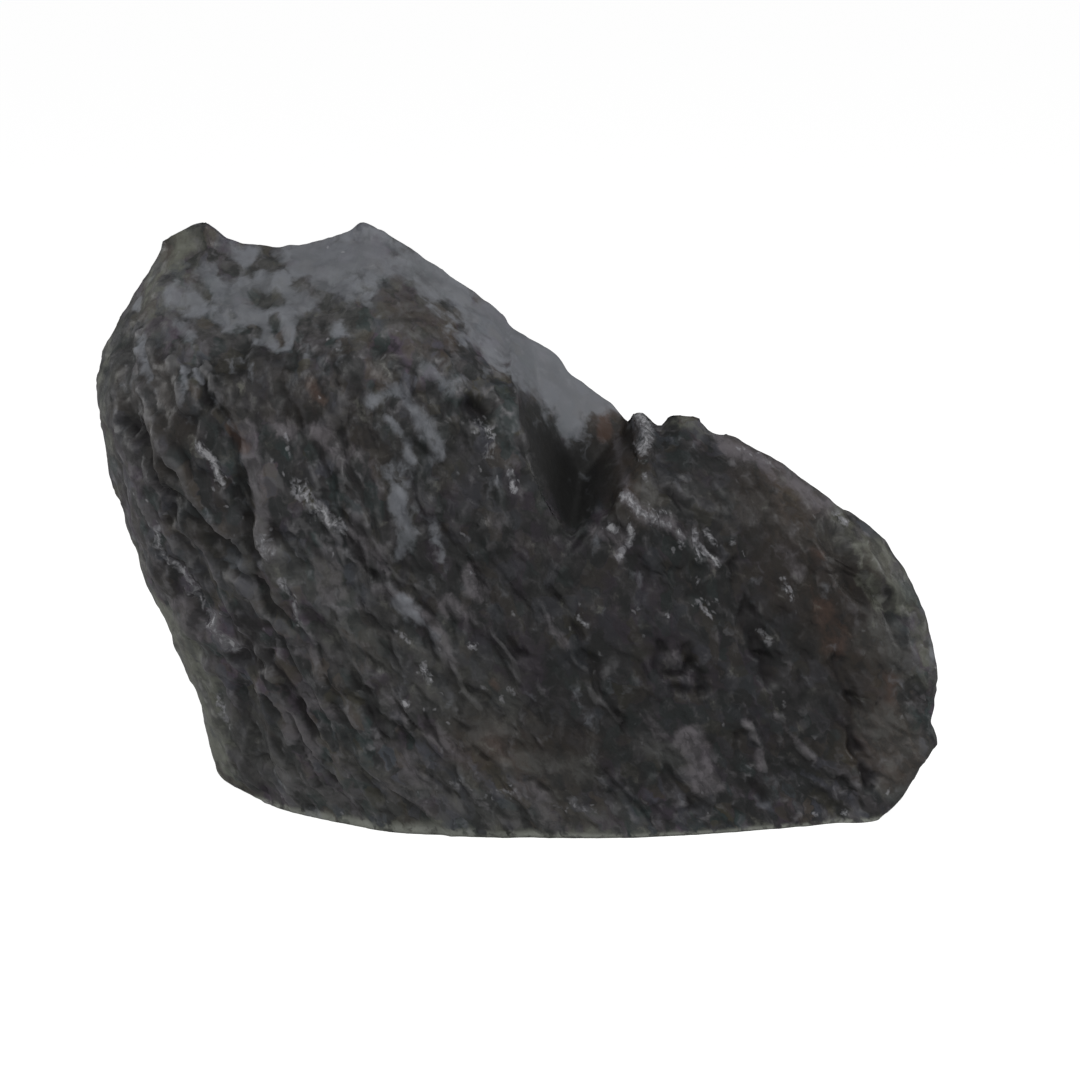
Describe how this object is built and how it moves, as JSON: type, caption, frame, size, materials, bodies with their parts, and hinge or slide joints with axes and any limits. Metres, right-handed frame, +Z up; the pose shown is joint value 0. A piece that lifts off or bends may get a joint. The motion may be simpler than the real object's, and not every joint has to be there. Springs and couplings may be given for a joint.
{
  "type": "dragon stone",
  "caption": "Dark, foliated display stone with a flat sawn base, a tall two-horned left end and a low lobe behind a cleft on the right.",
  "frame": {"origin": "on the sawn base, under the middle of the stone's box", "axes": "+X along the stone, from the tall end to the low lobe; -Y out of the broad relief face; +Z up, away from the sawn base"},
  "size_m": [0.1998, 0.0818, 0.1382],
  "materials": {
    "stone": "rough foliated rock, semi-gloss on the crests of the flakes"
  },
  "bodies": {
    "root": {"stone": "stone"}
  },
  "joints": []
}
